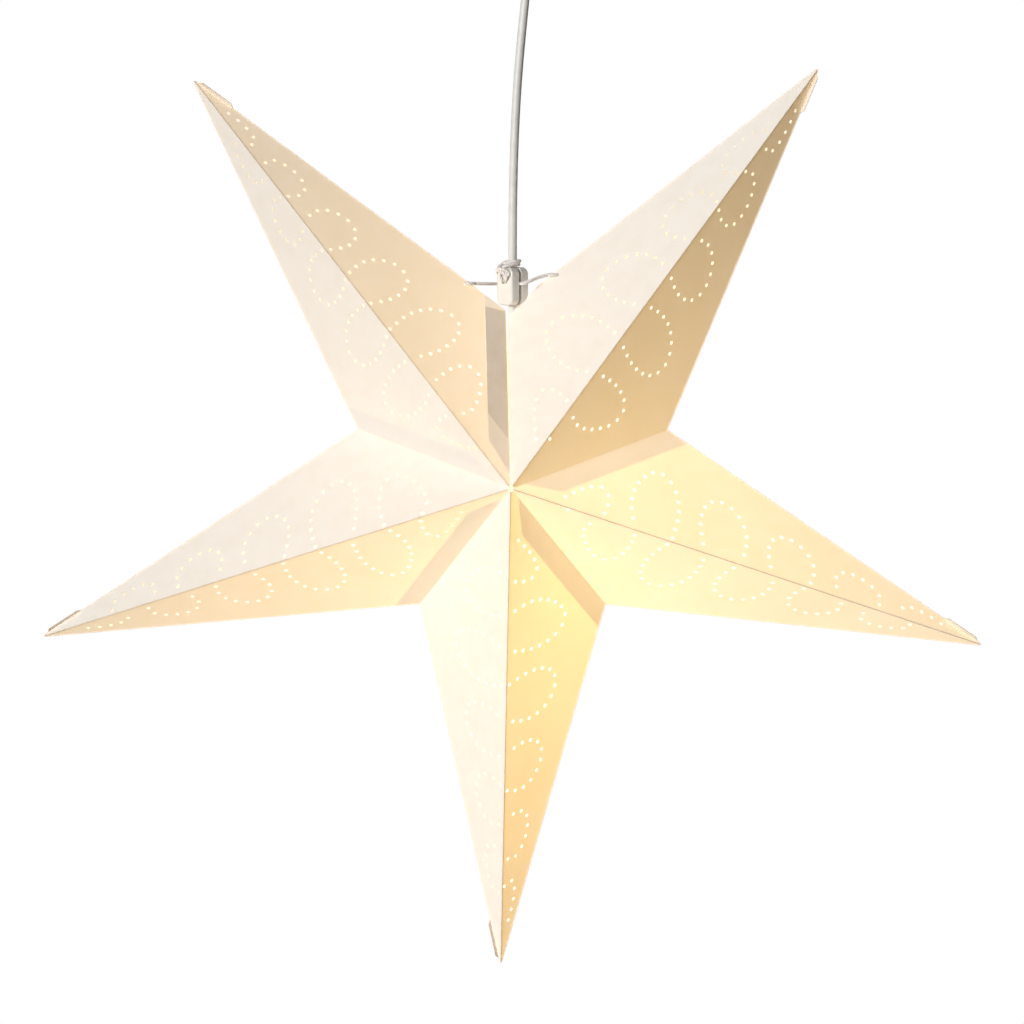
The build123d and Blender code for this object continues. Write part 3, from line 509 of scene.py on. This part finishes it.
# the beads on the folds: their radii, how deep a ridge's bead is set into it, and where an outer bead starts and
# ends, as a share of the fold's length
crease_bead, rim_bead = 0.00045, 0.0004
crease_sink = 0.00022
rim_start_at_slit, rim_end = 0.09, 0.01
skins_of_sheet = [paper, lit_inside, crease_paper, rim_paper]
for name in half_turns:
    line = smooth_line("dotted_line", [wandering_line(name)])
    made = bmesh.new()
    ridges, rims = [], []
    for side in ("cw", "ccw"):
        for face_way in (-1, 1):
            panel = Panel(name, side, face_way)
            flat = grown(wire_object("outline", [panel.outline]), sheet_tree, {
                "Line": line, "Hole Radius": hole_radius, "Hole Spacing": hole_spacing,
                "Edge Margin": hole_radius + hole_margin, "Thickness": thickness, "Hole Sides": 12,
                "Outside": paper, "Inside": lit_inside})
            fold = Vector(panel.flat(panel.corner)).normalized()
            # two maps carry the painted light: the place from the valley fold, for the painted flap shadow, and
            # the panel's painted glow share
            from_fold = flat.uv_layers.new(name="from_fold").data
            own_share = flat.uv_layers.new(name="lamp_share").data
            for loop in flat.loops:
                spot = flat.vertices[loop.vertex_index].co
                hosted = (name, side) in flap_hosts
                own_share[loop.index].uv = (painted_glow_shares[name][side], 0.0)
                from_fold[loop.index].uv = (spot.dot(fold), spot.cross(fold).length if hosted else 1.0)
            flat.transform(panel.place @ Matrix.Translation((0, 0, skin_gap)))
            for vertex in flat.vertices:
                vertex.co.y = face_way * max(vertex.co.y * face_way, half_gap)
            skins = [skins_of_sheet.index(skin) for skin in flat.materials]
            for polygon in flat.polygons:
                polygon.material_index = skins[polygon.material_index]
            made.from_mesh(flat)
            settle = Vector((0, -face_way * crease_sink, 0))
            ridge_start = panel.apex + (panel.tip - panel.apex) * (centre_hole / tip_radius)
            ridge_end = panel.tip - (panel.tip - panel.apex) * (tip_cut / tip_radius)
            if side == "cw":
                ridges.append([star + ridge_start + settle, star + ridge_end + settle])
            if side == "cw" and not panel.at_slit:
                valley_start = panel.apex + (panel.corner - panel.apex) * (centre_hole / corner_radius)
                rims.append([star + valley_start + settle, star + panel.corner + settle])
        outer_start = panel.corner + (panel.tip - panel.corner) * (rim_start_at_slit if panel.at_slit else 0.0)
        outer_end = panel.tip + (panel.corner - panel.tip) * rim_end
        rims.append([star + outer_start, star + outer_end])
    bmesh.ops.recalc_face_normals(made, faces=made.faces)
    # the fold beads take their own copies of the paper, each with its own painted glow
    for lines, radius, skin in ((ridges, crease_bead, crease_paper), (rims, rim_bead, rim_paper)):
        beads = grown(wire_object("folds", lines, closed=False), fold_tree, {
            "Radius": radius, "Sides": 8, "Material": skin})
        for polygon in beads.polygons:
            polygon.material_index = skins_of_sheet.index(skin)
        made.from_mesh(beads)
    mesh = bpy.data.meshes.new(f"folded_sheet_{name}")
    made.to_mesh(mesh)
    made.free()
    bpy.data.objects.remove(line)
    piece = new_piece(f"folded_sheet_{name}", mesh, *skins_of_sheet)
    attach(piece, "star")
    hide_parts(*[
        f"{way}_{name}_{side}" for way in ("front", "back") for side in ("cw", "ccw")])

# ---------------------------------------------------------------- tie string
# Twine: strands wind round a route, with a set number of strands, lay and thickness.
twine_grower, given = new_tree("laid_twine", {
    "Route": "Object", "Step": "Float", "Lay": "Float", "Lay Radius": "Float", "Strand Radius": "Float",
    "Material": "Material"})
route = add(twine_grower, "GeometryNodeObjectInfo", {"Object": given["Route"]}).outputs["Geometry"]
stepped = add(twine_grower, "GeometryNodeResampleCurve", {"Curve": route, "Length": given["Step"]},
              mode="LENGTH").outputs[0]
so_far = add(twine_grower, "GeometryNodeSplineParameter").outputs["Length"]
turns = add(twine_grower, "ShaderNodeMath", {0: so_far, 1: given["Lay"]}, operation="DIVIDE").outputs[0]
normal = add(twine_grower, "GeometryNodeInputNormal").outputs[0]
tangent = add(twine_grower, "GeometryNodeInputTangent").outputs[0]
section = add(twine_grower, "GeometryNodeCurvePrimitiveCircle", {
    "Resolution": 7, "Radius": given["Strand Radius"]}, mode="RADIUS").outputs[0]
strands = add(twine_grower, "GeometryNodeJoinGeometry")
for strand in range(3):
    phase = add(twine_grower, "ShaderNodeMath", {0: turns, 1: strand / 3}, operation="ADD").outputs[0]
    angle = add(twine_grower, "ShaderNodeMath", {0: phase, 1: tau}, operation="MULTIPLY").outputs[0]
    way = add(twine_grower, "ShaderNodeVectorRotate", {
        "Vector": normal, "Axis": tangent, "Angle": angle}, rotation_type="AXIS_ANGLE").outputs[0]
    out = add(twine_grower, "ShaderNodeVectorMath", {0: way, "Scale": given["Lay Radius"]},
              operation="SCALE").outputs[0]
    wound = add(twine_grower, "GeometryNodeSetPosition", {"Geometry": stepped, "Offset": out}).outputs[0]
    tube = add(twine_grower, "GeometryNodeCurveToMesh", {
        "Curve": wound, "Profile Curve": section, "Fill Caps": True}).outputs[0]
    twine_grower.links.new(tube, strands.inputs[0])
real = add(twine_grower, "GeometryNodeRealizeInstances", {"Geometry": strands.outputs[0]}).outputs[0]
soft = add(twine_grower, "GeometryNodeSetShadeSmooth", {"Geometry": real}).outputs[0]
coated = add(twine_grower, "GeometryNodeSetMaterial", {
    "Geometry": soft, "Material": given["Material"]}).outputs[0]
add(twine_grower, "NodeGroupOutput", {"Geometry": coated})


strand_radius = 0.00068
clip_middle = star + Vector((0, 0, 0.13875))
clip_frame = Matrix.Translation(clip_middle) @ Matrix.Rotation(radians(-45), 4, "Z")


def on_clip(x, y, z):
    """A place in the clip's own turned frame, in millimetres."""
    return clip_frame @ Vector((x / 1000, y / 1000, z / 1000))


left_edge = star + Vector((-0.0317, 0, 0.1408))
right_edge = star + Vector((0.0300, 0, 0.1472))
ring = [(0.0036 * cos(turn / 10 * tau), 0.0032 * sin(turn / 10 * tau)) for turn in range(11)]
string_lines = [
    [left_edge + Vector((0.0034, 0, 0)), left_edge + Vector((0.010, 0.002, -0.0003)),
     on_clip(-15, 1.0, 1.4), on_clip(-10.6, 0, 1.6), on_clip(-3.9, 0, 2.0)],
    [right_edge - Vector((0.0034, 0, 0)), right_edge - Vector((0.010, 0.002, 0.0014)),
     on_clip(15, -1.0, 2.9), on_clip(10.6, 0, 2.2), on_clip(3.9, 0, 2.0)],
    # out of the slot, up over the clip, twice round the cord and back down across itself
    [on_clip(-1.2, -6.8, 3.8), on_clip(-1.6, -9.9, 4.4), on_clip(-3.0, -10.4, 8.0), on_clip(-2.4, -10.2, 11.8),
     on_clip(0.8, -9.8, 14.2), on_clip(3.6, -8.6, 15.6), on_clip(5.4, -4.2, 15.9), on_clip(4.8, 2.0, 15.9),
     on_clip(0.4, 5.2, 16.0), on_clip(-4.4, 3.2, 16.3), on_clip(-5.4, -1.8, 16.6), on_clip(-2.8, -5.4, 17.2),
     on_clip(2.6, -5.2, 17.8), on_clip(5.4, -1.8, 18.3), on_clip(4.6, 3.4, 18.5), on_clip(0, 5.4, 18.5),
     on_clip(-4.8, 3.4, 18.4), on_clip(-6.2, -1.6, 17.6), on_clip(-6.6, -6.6, 15.2), on_clip(-4.8, -11.0, 12.4),
     on_clip(0.2, -12.4, 10.6), on_clip(4.4, -11.0, 9.0), on_clip(4.2, -10.0, 6.4), on_clip(1.8, -9.9, 4.6),
     on_clip(1.3, -6.8, 3.6)],
    # the knot's second turn, in front of the clip
    [on_clip(-6.4, -9.0, 9.6), on_clip(-5.2, -11.6, 12.2), on_clip(-1.4, -12.6, 13.6), on_clip(3.2, -12.2, 12.8),
     on_clip(6.2, -9.8, 10.6), on_clip(5.4, -9.6, 7.6)],
    [left_edge + Vector((x, y, 0)) for x, y in ring],
    [right_edge + Vector((x, y, 0)) for x, y in ring],
]
string_route = smooth_line("string_route", string_lines)
string_start = wire_object("string_start", [[(0, 0, 0), (0, 0, 0.001)]], closed=False)
string_mesh = grown(string_start, twine_grower, {
    "Route": string_route, "Step": 0.0006, "Lay": 0.0075, "Lay Radius": strand_radius,
    "Strand Radius": strand_radius, "Material": twine})
bpy.data.objects.remove(string_route)
tie_string = new_piece("tie_string_twine", string_mesh, twine)
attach(tie_string, "star")
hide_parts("tie_string")


# ---------------------------------------------------------------- light, floor and surroundings
def far_light(name, azimuth, height, strength, colour, spread):
    """A soft light from far away, from that side of the front and that height, both in degrees."""
    light = bpy.data.objects.new(name, bpy.data.lights.new(name, "SUN"))
    light.data.energy = strength
    light.data.color = tint(colour)[:3]
    light.data.angle = radians(spread)
    side, rise = radians(azimuth), radians(height)
    from_there = Vector((sin(side) * cos(rise), -cos(side) * cos(rise), sin(rise)))
    light.rotation_euler = from_there.to_track_quat("Z", "Y").to_euler()
    scene.collection.objects.link(light)


far_light("window_key", -35, 15, 2.75, "FFFFFF", 20)
far_light("back_fill", 155, 25, 0.45, "FFFCF8", 30)

glow = bpy.data.objects.new("lamp_glow", bpy.data.lights.new("lamp_glow", "POINT"))
glow.data.energy = 0.22
glow.data.color = tint("FFE7B3")[:3]
glow.data.shadow_soft_size = 0.021
glow.location = star + Vector((0.010, -0.002, -0.086))
scene.collection.objects.link(glow)
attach(glow, "lamp")

world = bpy.data.worlds.new("studio")
world.use_nodes = True
scene.world = world
sky = world.node_tree
backdrop = sky.nodes["Background"]
backdrop.inputs["Color"].default_value = tint("FFFFFF")
backdrop.inputs["Strength"].default_value = 1.0
ambient = add(sky, "ShaderNodeBackground", {"Color": tint("FFFCFA"), "Strength": 0.05})
seen = add(sky, "ShaderNodeLightPath").outputs["Is Camera Ray"]
mixed = add(sky, "ShaderNodeMixShader", {0: seen, 1: ambient.outputs[0], 2: backdrop.outputs[0]})
sky.links.new(mixed.outputs[0], sky.nodes["World Output"].inputs["Surface"])

floor_half = 1.15
floor_level = -1.25
floor_mesh = bpy.data.meshes.new("floor")
floor_corners = [
    (x * floor_half, y * floor_half, floor_level) for x, y in ((-1, -1), (1, -1), (1, 1), (-1, 1))]
floor_mesh.from_pydata(floor_corners, [], [(0, 1, 2, 3)])
floor = new_piece("floor", floor_mesh, moulded("pale_floor", "F2F0EC", "EDEBE6", 0.7, 60.0, 0.0002))

scene.view_settings.view_transform = "Standard"
